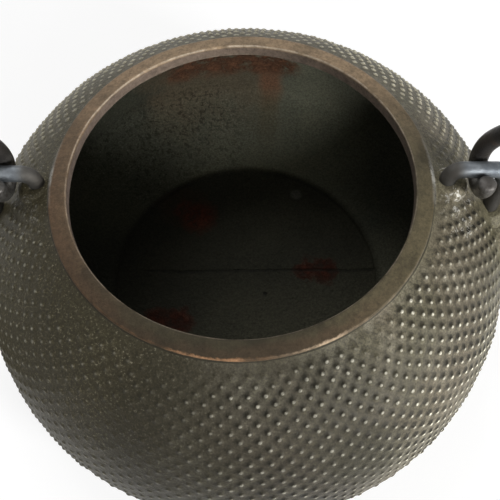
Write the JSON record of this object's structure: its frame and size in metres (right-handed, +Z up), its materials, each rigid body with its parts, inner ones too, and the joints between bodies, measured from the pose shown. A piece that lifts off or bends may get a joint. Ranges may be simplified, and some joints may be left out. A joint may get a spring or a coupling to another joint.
{
  "type": "cast iron kettle",
  "caption": "Squat round cast iron kettle with a dotted shoulder, open mouth, curved spout and hooked swinging bail, its knobbed lid laid beside it.",
  "frame": {"origin": "middle of the kettle's flat base, on the surface it stands on", "axes": "+Z up through the mouth, +X along the spout and the bail's hinge axis, -Y towards the side the picture was taken from"},
  "size_m": [0.3304, 0.175, 0.1862],
  "materials": {
    "body_iron": "satin grey-brown cast iron, rust round the mouth",
    "ear_steel": "bare blue-grey steel rod, worn smooth",
    "bail_iron": "blackened forged iron, satin",
    "lid_iron": "satin grey-brown cast iron",
    "knob_iron": "dark satin cast iron",
    "pin_steel": "dull steel"
  },
  "bodies": {
    "kettle": {"kettle_body": "body_iron", "ear_staple_left": "ear_steel", "ear_staple_right": "ear_steel"},
    "bail": {"bail": "bail_iron"},
    "lid": {"lid_plate": "lid_iron", "knob_washer": "knob_iron", "lid_knob": "knob_iron", "knob_pin": "pin_steel"}
  },
  "joints": [
    {"name": "bail_swing", "type": "hinge", "parent": "kettle", "child": "bail", "pos_m": [0, 0, 0.075], "axis": [1, 0, 0], "range_deg": [-121, 121]},
    {"name": "lid_lift", "type": "slide", "parent": "kettle", "child": "lid", "axis": [0, 0, 1], "range_m": [0, 0.08]}
  ]
}
